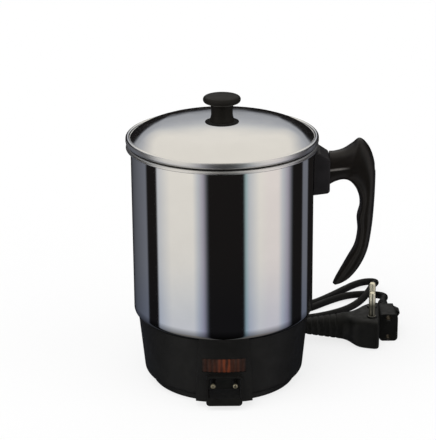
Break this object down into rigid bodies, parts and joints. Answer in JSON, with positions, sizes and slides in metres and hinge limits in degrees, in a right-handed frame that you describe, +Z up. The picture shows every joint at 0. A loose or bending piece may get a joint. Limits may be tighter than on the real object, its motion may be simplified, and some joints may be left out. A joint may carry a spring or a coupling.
{
  "type": "electric heating cup",
  "caption": "Polished steel heating cup with a lift-off domed lid, black side handle and heated black base, with a detached mains lead that pushes into its front inlet.",
  "frame": {"origin": "centre of the foot's underside, on the cup's axis, at table level", "axes": "+Z up along the cup's axis, +X towards the handle, -Y towards the inlet and pilot lamp in front"},
  "size_m": [0.1964, 0.234, 0.2022],
  "materials": {
    "polished_steel": "mirror polished stainless steel",
    "plated_steel": "zinc plated",
    "black_plastic": "satin black",
    "knob_plastic": "semi-gloss black",
    "handle_plastic": "semi-gloss brown-black",
    "mount_plastic": "satin black",
    "silicone": "pale silicone",
    "aluminium_plate": "cast",
    "element_sheath": "heat tinted",
    "thermostat_ceramic": "unglazed",
    "brass": "bright",
    "fuse_can": "bright",
    "inlet_plastic": "black",
    "red_lens": "ribbed translucent red",
    "lamp_glass": "clear",
    "live_sleeve": "brown sleeve",
    "neutral_sleeve": "blue sleeve",
    "lead_sleeve": "white sleeve",
    "cord_plastic": "moulded black",
    "cord_sheath": "matte black sheath"
  },
  "bodies": {
    "cup": {"cup_body": "polished_steel", "handle": "handle_plastic", "handle_washer": "plated_steel", "handle_screw": "plated_steel", "handle_bracket": "plated_steel", "handle_mount": "mount_plastic", "base_housing": "black_plastic", "base_bottom_cover": "black_plastic", "cover_screws": "plated_steel", "base_studs": "plated_steel", "base_washers": "plated_steel", "base_nuts": "plated_steel", "seal_gasket": "silicone", "heat_plate": "aluminium_plate", "heating_element": "element_sheath", "element_terminals": "plated_steel", "thermostat": "thermostat_ceramic", "thermostat_tabs": "brass", "thermal_fuse": "fuse_can", "inlet_block": "inlet_plastic", "inlet_pins": "brass", "inlet_screws": "plated_steel", "pilot_lens": "red_lens", "neon_lamp": "lamp_glass", "lamp_holder": "inlet_plastic", "live_wire": "live_sleeve", "link_wire": "live_sleeve", "neutral_wire": "neutral_sleeve", "lamp_leads": "lead_sleeve"},
    "lid_set": {"lid": "polished_steel", "lid_skirt": "polished_steel", "knob_shield": "knob_plastic", "lid_knob": "knob_plastic", "knob_washer": "plated_steel", "knob_screw": "plated_steel"},
    "lead": {"cord_connector_lead": "cord_sheath", "cord_loops": "cord_sheath", "cord_plug_lead": "cord_sheath", "plug_body": "cord_plastic", "plug_pins": "brass", "plug_strain_relief": "cord_plastic", "connector_body": "cord_plastic", "connector_contacts": "brass", "connector_strain_relief": "cord_plastic"}
  },
  "joints": [
    {"name": "lid_lift", "type": "slide", "parent": "cup", "child": "lid_set", "axis": [0, 0, 1], "range_m": [0, 0.12]},
    {"name": "lead_pull", "type": "slide", "parent": "cup", "child": "lead", "axis": [1, 0, 0], "range_m": [0, 0.1]}
  ]
}
